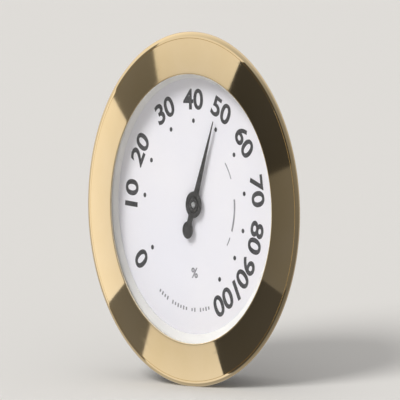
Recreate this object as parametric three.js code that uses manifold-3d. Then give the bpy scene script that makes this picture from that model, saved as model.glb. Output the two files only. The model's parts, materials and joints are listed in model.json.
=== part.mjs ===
// Dial hygrometer for a panel: a 45 mm round gauge with a spiral humidity element.
// Millimetres. +Z is up, the dial looks along -Y and every turned piece stands on the Y axis.
// The origin is the centre of the plane where the bezel's flange meets the panel.
import * as THREE from "three";
import { mergeVertices } from "three/addons/utils/BufferGeometryUtils.js";
import Module from "manifold-3d";

const wasm = await Module();
wasm.setup();

// ---- Driving dimensions ----

const BEZEL_R = 22.5;
const OPENING_R = 17.1;
const BEZEL_FRONT_Y = -2.6;
const FACE_SLOPE = 12.5; // degrees that the bezel's face falls back from square to the axis
const FACE_END_R = 21.75; // where the sloping face ends and the rounded edge begins
const LIP_THICKNESS = 0.5;
const EDGE_BREAK = 0.15; // small chamfer on turned edges
const CASE_R = 18.8;
const CASE_BORE_R = 16.9;
const CASE_REAR_Y = 11;
const STACK_R = 18; // lens, spacer, dial and movement plate share this radius
const STACK_GAP = 0.1; // axial gap between stacked discs
const POCKET_GAP = 0.2; // radial gap round the stacked discs

const LENS_THICKNESS = 0.8;
const GASKET_THICKNESS = 0.3;
const SPACER_THICKNESS = 1.2;
const SPACER_REAR_R = 16.3;
const SPACER_FOOT = 0.2; // upright part of the spacer's sloping inner side
const DIAL_THICKNESS = 0.4;
const PLATE_THICKNESS = 0.6;

const PILLAR_X = 11;
const PILLAR_R = 1.4;
const PILLAR_STUB_R = 0.75;
const PILLAR_HOLE_R = 0.55;
const PILLAR_HOLE_DEPTH = 2.5;
const BRIDGE_Y = 7.5;
const BRIDGE_THICKNESS = 0.6;
const BRIDGE_HALF_WIDTH = 3;
const BRIDGE_SCREW_HEAD_R = 1.25;
const BRIDGE_SCREW_HEAD_HEIGHT = 0.7;
const BRIDGE_SCREW_TIP_Y = 5.2;
const SCREW_SLOT_DEPTH = 0.3;
const SCREW_SLOT_WIDTH = 0.35;
const SCREW_POINT = 0.3; // length of the taper at a screw's tip

const ARBOR_R = 0.45;
const ARBOR_FRONT_Y = -0.55;
const ARBOR_PIVOT_Y = 6.35;
const ARBOR_REAR_Y = 8.05;
const PIVOT_R = 0.25;
const BUSH_R = 1.15;
const BUSH_COLLAR_R = 2.05;
const BUSH_COLLAR_THICKNESS = 0.6;
const COLLET_R = 1.5;
const RUNNING_GAP = 0.05;
const POINTER_ANGLE = 21; // degrees clockwise from the top, close to 50 % on the scale
const POINTER_TIP = 11.6;
const POINTER_TAIL = 4.6;
const POINTER_Y = -0.3;
const POINTER_THICKNESS = 0.25;
const POINTER_BOSS_R = 1.7;
const POINTER_WEIGHT_R = 1.1;
const POINTER_ROOT_HALF_WIDTH = 0.6;
const POINTER_TIP_HALF_WIDTH = 0.08;
const POINTER_TAIL_HALF_WIDTH = 0.45;
const HUB_NECK_R = 0.95;
const HUB_FLANGE_R = 1.5;
const HUB_FLANGE_THICKNESS = 0.3;

const COIL_TURNS = 8;
const COIL_INNER_R = 1.75;
const COIL_OUTER_R = 7.6;
const COIL_THICKNESS = 0.25;
const COIL_FRONT_Y = 3.7;
const COIL_REAR_Y = 6.2;
const COIL_STEPS_PER_TURN = 20;
const RIVET_HOLE_R = 0.35;
const RIVET_HEAD_R = 0.65;
const RIVET_HEAD_HEIGHT = 0.3;

const COVER_R = 16.7;
const COVER_Y = 9.9;
const COVER_THICKNESS = 1;
const VENT_COUNT = 12;
const VENT_WIDTH = 1.6;
const VENT_INNER_R = 5.4;
const VENT_OUTER_R = 12.2;
const VENT_END_SEGMENTS = 5;
const ADJUSTER_HEAD_R = 2.8;
const ADJUSTER_HEAD_EDGE = 0.25;
const ADJUSTER_REAR_Y = 10.75;
const ADJUSTER_SLOT_WIDTH = 0.8;
const ADJUSTER_SLOT_DEPTH = 0.9;
const SPIGOT_R = 1.2;
const SPIGOT_Y = 6.45;
const ARM_Y = 6.5;
const ARM_THICKNESS = 0.45;
const POST_INNER_Z = 7.95;
const POST_OUTER_Z = 8.4;
const POST_HALF_WIDTH = 0.9;
const CASE_EDGE = 0.3;
const BOSS_COUNT = 3;
const BOSS_CIRCLE_R = 15.4;
const BOSS_R = 1.7;
const BOSS_HOLE_R = 0.65;
const BOSS_FRONT_Y = 5;
const BOSS_HOLE_FRONT_Y = 6;
const BOSS_FIRST_ANGLE = 60; // degrees clockwise from the top
const COVER_SCREW_HOLE_R = 0.85;
const COVER_SCREW_HEAD_R = 1.35;
const COVER_SCREW_HEAD_HEIGHT = 0.5;
const COVER_SCREW_TIP_Y = 6.6;
const COUNTERBORE_DEPTH = 0.6;

const GRIP_SECTION_R = 0.7;
const GRIP_GROOVE_R = 18.1;
const GRIP_GROOVE_WIDTH = 1.7;
const GRIP_GROOVE_YS = [2.2, 6.4];

const RING_SEGMENTS = 60;
const SMALL_SEGMENTS = 24;
const RIVET_SEGMENTS = 12;
const RADIANS = Math.PI / 180;

// ---- Shape helpers ----

// Turns a closed outline of [radius, y] points about the Y axis.
function turned(outline, segments = SMALL_SEGMENTS) {
  const points = outline.map(([radius, y]) => new THREE.Vector2(radius, y));
  if (THREE.ShapeUtils.area(points) < 0) points.reverse();
  const startsOnAxis = points.findIndex((p, i) => p.x === 0 && points.at(i - 1).x === 0);
  if (startsOnAxis < 0) points.push(points[0].clone());
  else points.push(...points.splice(0, startsOnAxis));
  return new THREE.LatheGeometry(points, segments);
}

// A ring of rectangular section between two radii and two stations along Y.
function ring(innerR, outerR, frontY, rearY, segments = SMALL_SEGMENTS) {
  const outline = [
    [innerR, frontY],
    [outerR, frontY],
    [outerR, rearY],
    [innerR, rearY],
  ];
  return turned(outline, segments);
}

// A round rod along Y.
function rod(radius, frontY, rearY, x = 0, z = 0, segments = SMALL_SEGMENTS) {
  const geometry = new THREE.CylinderGeometry(radius, radius, rearY - frontY, segments);
  return geometry.translate(x, (frontY + rearY) / 2, z);
}

// A flat plate whose outline is drawn as seen from the front, X across and Z up.
function plate(shape, frontY, thickness, curveSegments = 8) {
  const geometry = new THREE.ExtrudeGeometry(shape, {
    depth: thickness,
    bevelEnabled: false,
    curveSegments,
  });
  return geometry.rotateX(Math.PI / 2).translate(0, frontY + thickness, 0);
}

// An outline with two straight sides and two round ends, running out along the plate's Z.
function slotShape(startR, endR, halfWidth) {
  const shape = new THREE.Shape();
  shape.absarc(0, endR, halfWidth, 0, Math.PI, false);
  shape.absarc(0, startR, halfWidth, Math.PI, 2 * Math.PI, false);
  return shape.closePath();
}

// Turns a geometry clockwise about Y, as seen from the front.
function clockwise(geometry, degrees) {
  return geometry.rotateY(degrees * RADIANS);
}

// A point on a circle round Y, by its angle clockwise from the top.
function onCircle(radius, degrees) {
  return [radius * Math.sin(degrees * RADIANS), radius * Math.cos(degrees * RADIANS)];
}

function solid(geometry) {
  const bare = geometry.index ? geometry.toNonIndexed() : geometry.clone();
  bare.deleteAttribute("normal");
  bare.deleteAttribute("uv");
  const merged = mergeVertices(bare, 1e-4);
  const corners = merged.index.array;
  const kept = [];
  for (let i = 0; i < corners.length; i += 3) {
    const [a, b, c] = corners.slice(i, i + 3);
    if (a !== b && b !== c && c !== a) kept.push(a, b, c);
  }
  return new wasm.Manifold(
    new wasm.Mesh({
      numProp: 3,
      vertProperties: merged.attributes.position.array,
      triVerts: new Uint32Array(kept),
    }),
  );
}

function fromSolid(manifold) {
  const mesh = manifold.getMesh();
  const geometry = new THREE.BufferGeometry();
  geometry.setAttribute("position", new THREE.BufferAttribute(mesh.vertProperties, 3));
  geometry.setIndex(new THREE.BufferAttribute(mesh.triVerts, 1));
  const faceted = geometry.toNonIndexed();
  faceted.computeVertexNormals();
  return faceted;
}

function cut(base, tools) {
  return fromSolid(tools.reduce((left, tool) => left.subtract(solid(tool)), solid(base)));
}

function join(pieces) {
  return fromSolid(pieces.slice(1).reduce((sum, piece) => sum.add(solid(piece)), solid(pieces[0])));
}

// ---- Materials ----

function finish(color, roughness, metalness) {
  return () => new THREE.MeshStandardMaterial({ color, roughness, metalness });
}

const polishedGold = finish(0xe8cf86, 0.12, 1);
const brass = finish(0xc9a85c, 0.3, 1);
const steel = finish(0xa9abad, 0.35, 1);
const copperStrip = finish(0xb98a63, 0.45, 0.8);
const whiteEnamel = finish(0xf2f0f4, 0.45, 0);
const whitePlastic = finish(0xf3f0ea, 0.5, 0);
const blackEnamel = finish(0x111111, 0.4, 0);
const blackPlastic = finish(0x1b1b1c, 0.55, 0);
const blackRubber = finish(0x151515, 0.85, 0);
const greyGasket = finish(0xd9d8d4, 0.7, 0);

function clearAcrylic() {
  return new THREE.MeshStandardMaterial({
    color: 0xf8fbfc,
    roughness: 0.03,
    metalness: 0,
    transparent: true,
    opacity: 0.2,
  });
}

const hygrometer = new THREE.Group();

function addPiece(name, geometry, makeMaterial) {
  const mesh = new THREE.Mesh(geometry, makeMaterial());
  mesh.name = name;
  hygrometer.add(mesh);
  return mesh;
}

// ---- Stations along the axis, from the lens to the movement plate ----

const lipRearY = BEZEL_FRONT_Y + LIP_THICKNESS;
const lensY = lipRearY + STACK_GAP;
const lensRearY = lensY + LENS_THICKNESS;
const gasketY = lensRearY + STACK_GAP;
const spacerY = gasketY + GASKET_THICKNESS + STACK_GAP;
const dialY = spacerY + SPACER_THICKNESS + STACK_GAP;
const plateY = dialY + DIAL_THICKNESS + STACK_GAP;
const shoulderY = plateY + PLATE_THICKNESS + STACK_GAP;

// ---- Front: bezel, lens, gasket, spacer ring and dial ----

const flangeR = 20.4; // the case's front flange, held in the bezel's recess
const flangeFrontY = lensRearY + STACK_GAP;
const recessR = flangeR + POCKET_GAP;
const pocketR = STACK_R + POCKET_GAP;

function bezel() {
  const faceStartR = OPENING_R + EDGE_BREAK;
  const faceEndY = BEZEL_FRONT_Y + (FACE_END_R - faceStartR) * Math.tan(FACE_SLOPE * RADIANS);
  const edgeDepth = BEZEL_R - FACE_END_R;
  const outline = [
    [OPENING_R, BEZEL_FRONT_Y + EDGE_BREAK],
    [faceStartR, BEZEL_FRONT_Y],
    [FACE_END_R, faceEndY],
    [BEZEL_R - 0.3 * edgeDepth, faceEndY + 0.3 * edgeDepth],
    [BEZEL_R, faceEndY + 0.8 * edgeDepth],
    [BEZEL_R, -EDGE_BREAK],
    [BEZEL_R - EDGE_BREAK, 0],
    [recessR, 0],
    [recessR, lensRearY],
    [pocketR, lensRearY],
    [pocketR, lipRearY],
    [OPENING_R, lipRearY],
  ];
  return turned(outline, RING_SEGMENTS);
}

function lens() {
  const outline = [
    [0, lensY],
    [STACK_R - EDGE_BREAK, lensY],
    [STACK_R, lensY + EDGE_BREAK],
    [STACK_R, lensRearY],
    [0, lensRearY],
  ];
  return turned(outline, RING_SEGMENTS);
}

function spacerRing() {
  const spacerRearY = spacerY + SPACER_THICKNESS;
  const outline = [
    [OPENING_R + STACK_GAP, spacerY],
    [STACK_R, spacerY],
    [STACK_R, spacerRearY],
    [SPACER_REAR_R, spacerRearY],
    [SPACER_REAR_R, spacerRearY - SPACER_FOOT],
  ];
  return turned(outline, RING_SEGMENTS);
}

const gasketRearY = gasketY + GASKET_THICKNESS;
const dialHoleR = 0.9;
addPiece("bezel", bezel(), polishedGold);
addPiece("lens", lens(), clearAcrylic);
addPiece(
  "lens_gasket",
  ring(OPENING_R + EDGE_BREAK, STACK_R, gasketY, gasketRearY, RING_SEGMENTS),
  greyGasket,
);
addPiece("spacer_ring", spacerRing(), whitePlastic);
addPiece(
  "dial_plate",
  ring(dialHoleR, STACK_R, dialY, dialY + DIAL_THICKNESS, RING_SEGMENTS),
  whiteEnamel,
);

// ---- Movement: plate, bush, pillars and rear bridge ----

const stubY = plateY + RUNNING_GAP; // front ends of the bush and of the pillars' stubs
const plateRearY = plateY + PLATE_THICKNESS;
const bridgeRearY = BRIDGE_Y + BRIDGE_THICKNESS;
const sides = [
  ["left", -PILLAR_X],
  ["right", PILLAR_X],
];

function movementPlate() {
  const blank = ring(BUSH_R + STACK_GAP, STACK_R, plateY, plateRearY, RING_SEGMENTS);
  const stubHoleR = PILLAR_STUB_R + STACK_GAP;
  const stubHoles = sides.map(([, x]) => rod(stubHoleR, plateY - 1, plateRearY + 1, x));
  return cut(blank, stubHoles);
}

function frontBush() {
  const boreR = ARBOR_R + RUNNING_GAP;
  const collarRearY = shoulderY + BUSH_COLLAR_THICKNESS;
  return turned([
    [boreR, stubY],
    [BUSH_R, stubY],
    [BUSH_R, shoulderY],
    [BUSH_COLLAR_R, shoulderY],
    [BUSH_COLLAR_R, collarRearY],
    [boreR, collarRearY],
  ]);
}

function pillar(x) {
  const rear = BRIDGE_Y - STACK_GAP;
  const outline = [
    [0, stubY],
    [PILLAR_STUB_R, stubY],
    [PILLAR_STUB_R, shoulderY],
    [PILLAR_R, shoulderY],
    [PILLAR_R, rear],
    [PILLAR_HOLE_R, rear],
    [PILLAR_HOLE_R, rear - PILLAR_HOLE_DEPTH],
    [0, rear - PILLAR_HOLE_DEPTH],
  ];
  return turned(outline).translate(x, 0, 0);
}

const bridgeHoleR = 1.9;
const bridgeScrewHoleR = 0.7;

function rearBridge() {
  const shape = new THREE.Shape();
  shape.absarc(PILLAR_X, 0, BRIDGE_HALF_WIDTH, -Math.PI / 2, Math.PI / 2, false);
  shape.absarc(-PILLAR_X, 0, BRIDGE_HALF_WIDTH, Math.PI / 2, (3 * Math.PI) / 2, false);
  const blank = plate(shape.closePath(), BRIDGE_Y, BRIDGE_THICKNESS);
  const holes = sides.map(([, x]) => rod(bridgeScrewHoleR, BRIDGE_Y - 1, bridgeRearY + 1, x));
  return cut(blank, [rod(bridgeHoleR, BRIDGE_Y - 1, bridgeRearY + 1), ...holes]);
}

// A slotted screw along Y with its head at the rear.
function slottedScrew({ headR, headY, headHeight, shankR, tipY, slotAngle }) {
  const headRear = headY + headHeight;
  const blank = turned([
    [0, tipY],
    [shankR - EDGE_BREAK, tipY],
    [shankR, tipY + SCREW_POINT],
    [shankR, headY],
    [headR, headY],
    [headR, headRear - EDGE_BREAK],
    [headR - EDGE_BREAK, headRear],
    [0, headRear],
  ]);
  const slot = new THREE.BoxGeometry(3 * headR, 2 * SCREW_SLOT_DEPTH, SCREW_SLOT_WIDTH);
  return cut(blank, [clockwise(slot, slotAngle).translate(0, headRear, 0)]);
}

addPiece("movement_plate", movementPlate(), brass);
addPiece("front_bush", frontBush(), brass);
for (const [side, x] of sides) {
  const screw = slottedScrew({
    headR: BRIDGE_SCREW_HEAD_R,
    headY: bridgeRearY + RUNNING_GAP,
    headHeight: BRIDGE_SCREW_HEAD_HEIGHT,
    shankR: PILLAR_HOLE_R - RUNNING_GAP,
    tipY: BRIDGE_SCREW_TIP_Y,
    slotAngle: 30 * Math.sign(x),
  });
  addPiece(`pillar_${side}`, pillar(x), brass);
  addPiece(`bridge_screw_${side}`, screw.translate(x, 0, 0), steel);
}
addPiece("rear_bridge", rearBridge(), brass);

// ---- Adjuster: slotted head, spring washer and the arm that anchors the coil ----

const armRearY = ARM_Y + ARM_THICKNESS;
const neckY = armRearY + RUNNING_GAP;
const neckR = bridgeHoleR - EDGE_BREAK;
const washerY = bridgeRearY + STACK_GAP;
const washerRearY = washerY + 0.2;
const adjusterHeadY = washerRearY + STACK_GAP;

function adjusterScrew() {
  const pivotHoleR = PIVOT_R + 0.07;
  const pivotHoleRearY = ARBOR_REAR_Y + EDGE_BREAK;
  const blank = turned([
    [pivotHoleR, SPIGOT_Y],
    [SPIGOT_R, SPIGOT_Y],
    [SPIGOT_R, neckY],
    [neckR, neckY],
    [neckR, adjusterHeadY],
    [ADJUSTER_HEAD_R, adjusterHeadY],
    [ADJUSTER_HEAD_R, ADJUSTER_REAR_Y - ADJUSTER_HEAD_EDGE],
    [ADJUSTER_HEAD_R - ADJUSTER_HEAD_EDGE, ADJUSTER_REAR_Y],
    [0, ADJUSTER_REAR_Y],
    [0, pivotHoleRearY],
    [pivotHoleR, pivotHoleRearY],
  ]);
  const slotSize = [3 * ADJUSTER_HEAD_R, 2 * ADJUSTER_SLOT_DEPTH, ADJUSTER_SLOT_WIDTH];
  return cut(blank, [new THREE.BoxGeometry(...slotSize).translate(0, ADJUSTER_REAR_Y, 0)]);
}

// The arm runs up from the spigot and turns forward into a post behind the coil's outer end.
function coilAnchor() {
  const armEnd = POST_OUTER_Z - POST_HALF_WIDTH;
  const arm = plate(slotShape(0, armEnd, POST_HALF_WIDTH), ARM_Y, ARM_THICKNESS);
  const eye = rod(SPIGOT_R + 1, ARM_Y, armRearY);
  const postFrontY = COIL_FRONT_Y - 0.1;
  const postLength = armRearY - postFrontY;
  const postDepth = POST_OUTER_Z - POST_INNER_Z;
  const post = new THREE.BoxGeometry(2 * POST_HALF_WIDTH, postLength, postDepth);
  post.translate(0, postFrontY + postLength / 2, (POST_OUTER_Z + POST_INNER_Z) / 2);
  const eyeHole = rod(SPIGOT_R + STACK_GAP, ARM_Y - 1, ARM_Y + 1);
  return cut(join([eye, arm, post]), [eyeHole, rivetHole()]);
}

const coilMiddleY = (COIL_FRONT_Y + COIL_REAR_Y) / 2;

function rivetHole() {
  const hole = new THREE.CylinderGeometry(RIVET_HOLE_R, RIVET_HOLE_R, 4, RIVET_SEGMENTS);
  return hole.rotateX(Math.PI / 2).translate(0, coilMiddleY, POST_OUTER_Z);
}

// A flat strip wound outwards clockwise, ending on the anchor post at the top.
function hygroscopicCoil() {
  const steps = COIL_TURNS * COIL_STEPS_PER_TURN;
  const tail = 2; // steps past the rivet, so that the strip's end is wider than the rivet's head
  const inner = [];
  const outer = [];
  for (let i = 0; i <= steps + tail; i += 1) {
    const turn = (i / COIL_STEPS_PER_TURN) * 360;
    const radius = COIL_INNER_R + (COIL_OUTER_R - COIL_INNER_R) * Math.min(i / steps, 1);
    inner.push(new THREE.Vector2(...onCircle(radius - COIL_THICKNESS / 2, turn)));
    outer.push(new THREE.Vector2(...onCircle(radius + COIL_THICKNESS / 2, turn)));
  }
  const shape = new THREE.Shape([...inner, ...outer.reverse()]);
  return cut(plate(shape, COIL_FRONT_Y, COIL_REAR_Y - COIL_FRONT_Y), [rivetHole()]);
}

function coilRivet() {
  const shankR = RIVET_HOLE_R - RUNNING_GAP;
  const footR = RIVET_HEAD_R - 0.05;
  const footZ = COIL_OUTER_R - COIL_THICKNESS / 2 - RUNNING_GAP;
  const headZ = POST_OUTER_Z + RUNNING_GAP;
  const outline = [
    [0, footZ - RIVET_HEAD_HEIGHT / 2],
    [footR - 0.05, footZ - RIVET_HEAD_HEIGHT / 2],
    [footR, footZ],
    [shankR, footZ],
    [shankR, headZ],
    [RIVET_HEAD_R, headZ],
    [RIVET_HEAD_R - 0.2, headZ + RIVET_HEAD_HEIGHT],
    [0, headZ + RIVET_HEAD_HEIGHT],
  ];
  return turned(outline, RIVET_SEGMENTS).rotateX(Math.PI / 2).translate(0, coilMiddleY, 0);
}

addPiece("adjuster_screw", adjusterScrew(), brass);
addPiece(
  "adjuster_washer",
  ring(bridgeHoleR + RUNNING_GAP, ADJUSTER_HEAD_R, washerY, washerRearY),
  steel,
);
addPiece("coil_anchor", coilAnchor(), brass);
addPiece("hygroscopic_coil", hygroscopicCoil(), copperStrip);
addPiece("coil_rivet", coilRivet(), steel);

// ---- Pointer: arbor, collet, hub and hand ----

function arbor() {
  const edge = 0.1;
  return turned([
    [0, ARBOR_FRONT_Y],
    [ARBOR_R - edge, ARBOR_FRONT_Y],
    [ARBOR_R, ARBOR_FRONT_Y + edge],
    [ARBOR_R, ARBOR_PIVOT_Y],
    [PIVOT_R, ARBOR_PIVOT_Y + edge],
    [PIVOT_R, ARBOR_REAR_Y - EDGE_BREAK],
    [0, ARBOR_REAR_Y],
  ]);
}

function pointerHub() {
  const boreR = ARBOR_R + RUNNING_GAP;
  const frontY = POINTER_Y - 0.35;
  const edge = 0.2;
  const flangeY = POINTER_Y + POINTER_THICKNESS + RUNNING_GAP;
  const flangeRearY = flangeY + HUB_FLANGE_THICKNESS;
  return turned([
    [boreR, frontY],
    [HUB_NECK_R - edge, frontY],
    [HUB_NECK_R, frontY + edge],
    [HUB_NECK_R, flangeY],
    [HUB_FLANGE_R, flangeY],
    [HUB_FLANGE_R, flangeRearY],
    [boreR, flangeRearY],
  ]);
}

// A slender hand: round boss, straight taper to a fine tip, and a tail with a round weight.
function pointer() {
  const rearY = POINTER_Y + POINTER_THICKNESS;
  const weightZ = POINTER_WEIGHT_R - POINTER_TAIL;
  const boss = rod(POINTER_BOSS_R, POINTER_Y, rearY);
  const weight = rod(POINTER_WEIGHT_R, POINTER_Y, rearY, 0, weightZ);
  const blade = new THREE.Shape();
  blade.moveTo(-POINTER_TAIL_HALF_WIDTH, weightZ);
  blade.lineTo(POINTER_TAIL_HALF_WIDTH, weightZ);
  blade.lineTo(POINTER_ROOT_HALF_WIDTH, 0);
  blade.lineTo(POINTER_TIP_HALF_WIDTH, POINTER_TIP);
  blade.lineTo(-POINTER_TIP_HALF_WIDTH, POINTER_TIP);
  blade.lineTo(-POINTER_ROOT_HALF_WIDTH, 0);
  const body = join([boss, weight, plate(blade.closePath(), POINTER_Y, POINTER_THICKNESS)]);
  const hole = rod(HUB_NECK_R + STACK_GAP, POINTER_Y - 1, POINTER_Y + 1);
  return clockwise(cut(body, [hole]), POINTER_ANGLE);
}

const colletY = COIL_FRONT_Y - 0.1;
const colletRearY = COIL_REAR_Y + 0.1;
addPiece("arbor", arbor(), steel);
addPiece("collet", ring(ARBOR_R + RUNNING_GAP, COLLET_R, colletY, colletRearY), brass);
addPiece("pointer_hub", pointerHub(), blackEnamel);
addPiece("pointer", pointer(), blackEnamel);

// ---- Case: shell, vented back cover, its screws and the grip rings ----

const bossPlaces = [];
for (let i = 0; i < BOSS_COUNT; i += 1) {
  bossPlaces.push(onCircle(BOSS_CIRCLE_R, BOSS_FIRST_ANGLE + (i * 360) / BOSS_COUNT));
}
const bossRearY = COVER_Y - STACK_GAP;

function caseShell() {
  const outline = [
    [pocketR, flangeFrontY],
    [flangeR, flangeFrontY],
    [flangeR, -STACK_GAP],
    [CASE_R, -STACK_GAP],
  ];
  for (const y of GRIP_GROOVE_YS) {
    outline.push(
      [CASE_R, y],
      [GRIP_GROOVE_R, y],
      [GRIP_GROOVE_R, y + GRIP_GROOVE_WIDTH],
      [CASE_R, y + GRIP_GROOVE_WIDTH],
    );
  }
  outline.push(
    [CASE_R, CASE_REAR_Y - CASE_EDGE],
    [CASE_R - CASE_EDGE, CASE_REAR_Y],
    [CASE_BORE_R, CASE_REAR_Y],
    [CASE_BORE_R, shoulderY],
    [pocketR, shoulderY],
  );
  const bosses = bossPlaces.map(([x, z]) => rod(BOSS_R, BOSS_FRONT_Y, bossRearY, x, z));
  const holes = bossPlaces.map(([x, z]) =>
    rod(BOSS_HOLE_R, BOSS_HOLE_FRONT_Y, bossRearY + 1, x, z),
  );
  return cut(join([turned(outline, RING_SEGMENTS), ...bosses]), holes);
}

const coverRearY = COVER_Y + COVER_THICKNESS;
const counterboreY = coverRearY - COUNTERBORE_DEPTH;

function backCover() {
  const blank = ring(ADJUSTER_HEAD_R + 0.3, COVER_R, COVER_Y, coverRearY, RING_SEGMENTS);
  const holes = bossPlaces.map(([x, z]) =>
    rod(COVER_SCREW_HOLE_R, COVER_Y - 1, coverRearY + 1, x, z),
  );
  const counterboreR = COVER_SCREW_HEAD_R + EDGE_BREAK;
  const counterbores = bossPlaces.map(([x, z]) =>
    rod(counterboreR, counterboreY, coverRearY + 1, x, z),
  );
  const ventShape = slotShape(VENT_INNER_R, VENT_OUTER_R, VENT_WIDTH / 2);
  const vents = [];
  for (let i = 0; i < VENT_COUNT; i += 1) {
    const vent = plate(ventShape, COVER_Y - 1, COVER_THICKNESS + 2, VENT_END_SEGMENTS);
    vents.push(clockwise(vent, (i * 360) / VENT_COUNT));
  }
  return cut(blank, [...holes, ...counterbores, ...vents]);
}

function gripRing(grooveY) {
  const middleY = grooveY + GRIP_GROOVE_WIDTH / 2;
  const centreR = GRIP_GROOVE_R + RUNNING_GAP + GRIP_SECTION_R;
  const torus = new THREE.TorusGeometry(centreR, GRIP_SECTION_R, 8, 48);
  return torus.rotateX(Math.PI / 2).translate(0, middleY, 0);
}

addPiece("case_shell", caseShell(), blackPlastic);
addPiece("back_cover", backCover(), blackPlastic);
bossPlaces.forEach(([x, z], i) => {
  const screw = slottedScrew({
    headR: COVER_SCREW_HEAD_R,
    headY: counterboreY + RUNNING_GAP,
    headHeight: COVER_SCREW_HEAD_HEIGHT,
    shankR: BOSS_HOLE_R - 0.1,
    tipY: COVER_SCREW_TIP_Y,
    slotAngle: 25 + 70 * i,
  });
  addPiece(`back_screw_${i + 1}`, screw.translate(x, 0, z), steel);
});
addPiece("grip_ring_front", gripRing(GRIP_GROOVE_YS[0]), blackRubber);
addPiece("grip_ring_rear", gripRing(GRIP_GROOVE_YS[1]), blackRubber);

export default hygrometer;
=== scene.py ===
"""Dial hygrometer: the finished pieces, their materials and a small studio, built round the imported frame.

Every length is in metres and every piece stands in the frame's own place. The gauge's axis is Y and the dial
looks along -Y. Angles on the dial are measured clockwise from the top, as a reader of the dial sees them.
"""

import json
import math

import bmesh
import bpy
from bpy.props import FloatProperty, FloatVectorProperty, IntProperty, PointerProperty
from mathutils import Matrix, Vector
from mathutils.geometry import tessellate_polygon


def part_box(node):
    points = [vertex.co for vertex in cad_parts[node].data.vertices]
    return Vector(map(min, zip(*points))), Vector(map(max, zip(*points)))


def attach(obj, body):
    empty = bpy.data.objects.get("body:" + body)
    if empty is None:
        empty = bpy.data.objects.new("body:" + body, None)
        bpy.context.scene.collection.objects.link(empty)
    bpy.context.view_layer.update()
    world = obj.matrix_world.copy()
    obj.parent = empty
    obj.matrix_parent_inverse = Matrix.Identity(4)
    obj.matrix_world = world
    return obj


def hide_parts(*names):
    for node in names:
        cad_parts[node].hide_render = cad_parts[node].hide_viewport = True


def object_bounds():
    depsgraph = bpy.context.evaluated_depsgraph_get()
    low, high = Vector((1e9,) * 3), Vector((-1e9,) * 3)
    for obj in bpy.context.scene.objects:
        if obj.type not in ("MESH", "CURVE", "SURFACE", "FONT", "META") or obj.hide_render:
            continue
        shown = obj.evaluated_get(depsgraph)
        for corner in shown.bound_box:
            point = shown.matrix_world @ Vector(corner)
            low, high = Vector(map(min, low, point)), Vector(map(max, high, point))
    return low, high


bl_info = {
    "name": "Dial Hygrometer",
    "version": (1, 0, 0),
    "blender": (4, 5, 0),
    "location": "3D View > Sidebar > Hygrometer",
    "description": "Builds the finished pieces of a 45 mm panel hygrometer and its studio",
    "category": "Add Mesh",
}

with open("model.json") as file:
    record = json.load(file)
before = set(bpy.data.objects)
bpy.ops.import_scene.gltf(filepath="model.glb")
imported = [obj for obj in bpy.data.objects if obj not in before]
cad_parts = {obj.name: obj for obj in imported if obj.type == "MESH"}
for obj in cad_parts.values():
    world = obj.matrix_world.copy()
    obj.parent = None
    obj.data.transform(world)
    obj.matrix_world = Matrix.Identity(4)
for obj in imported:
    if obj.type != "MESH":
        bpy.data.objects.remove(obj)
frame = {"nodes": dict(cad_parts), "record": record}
CAD_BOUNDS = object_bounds()
MM = 0.001
BODY_OF = {node: body for body, nodes in frame["record"]["behaviour"]["bodies"].items() for node in nodes}

BEZEL_LOW, BEZEL_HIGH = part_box("bezel")
LENS_LOW, LENS_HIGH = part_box("lens")
GASKET_LOW, GASKET_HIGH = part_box("lens_gasket")
SPACER_LOW, SPACER_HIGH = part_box("spacer_ring")
DIAL_LOW, DIAL_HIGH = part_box("dial_plate")
CASE_LOW, CASE_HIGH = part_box("case_shell")
COVER_LOW, COVER_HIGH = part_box("back_cover")
COIL_LOW, COIL_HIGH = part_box("hygroscopic_coil")

# Where each figure stands, in degrees clockwise from the top. The steps of the printed scale aren't even.
SCALE = {
    0: -123.0,
    10: -86.0,
    20: -60.5,
    30: -28.5,
    40: -1.5,
    50: 25.0,
    60: 52.0,
    70: 81.0,
    80: 106.5,
    90: 127.5,
    100: 150.4,
}
SMOOTH_ANGLE = math.radians(38)
STACK_GAP = 0.1 * MM  # axial gap between the stacked discs
POCKET_GAP = 0.2 * MM  # radial gap round them
DOT_RADIUS = 0.3 * MM
ARC_RADIUS = 8.5 * MM
FOOT_ROW_RADIUS = 13.3 * MM
PER_CENT_DROP = 8.7 * MM
PER_CENT_HEIGHT = 1.3 * MM
SPACER_REAR_RADIUS = 16.3 * MM
DIAL_HOLE_RADIUS = 0.9 * MM
CASE_RADIUS = 18.8 * MM
CASE_BORE_RADIUS = 16.9 * MM
GROOVE_RADIUS = 18.1 * MM
VENT_INNER = 5.4 * MM
VENT_OUTER = 12.2 * MM
SCREW_HOLE_RADIUS = 0.85 * MM
COUNTERBORE_RADIUS = 1.5 * MM
COUNTERBORE_DEPTH = 0.6 * MM
BOSS_RADIUS = 1.7 * MM
BOSS_HOLE_RADIUS = 0.65 * MM
BOSS_FRONT = 5 * MM
BOSS_FLOOR = 1 * MM
DUST_COLOUR = (0.45, 0.43, 0.40)
CAP_HEIGHT = 0.72  # of the typeface, as a share of its size


# ---- Settings ----


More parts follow.
